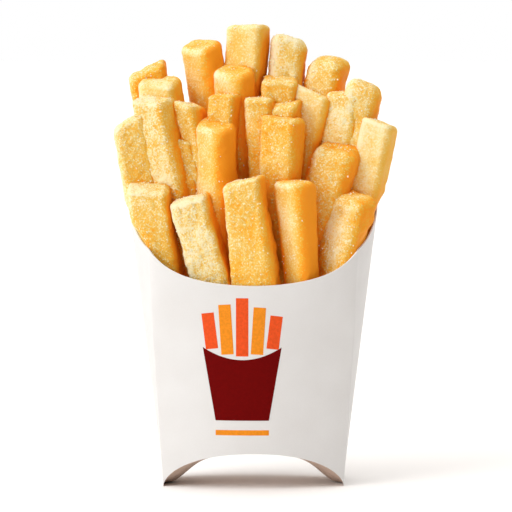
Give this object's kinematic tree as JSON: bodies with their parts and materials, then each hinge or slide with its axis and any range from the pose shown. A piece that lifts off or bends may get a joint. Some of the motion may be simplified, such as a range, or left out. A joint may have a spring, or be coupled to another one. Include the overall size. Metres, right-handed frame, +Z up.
{
  "type": "french fries in a carton",
  "caption": "Thick-cut french fries standing in an open paperboard carton with a scooped front, a domed back and an arched base on two feet.",
  "frame": {"origin": "on the surface the carton stands on, under the middle of the object's bounding box", "axes": "+Z up, -Y out of the scooped front panel, +X to the right as seen from the front"},
  "size_m": [0.1024, 0.0514, 0.1648],
  "materials": {
    "board": null,
    "fried_potato": "golden fried crust, rough and dry"
  },
  "bodies": {
    "root": {"carton": "board", "fries": "fried_potato"}
  },
  "joints": []
}
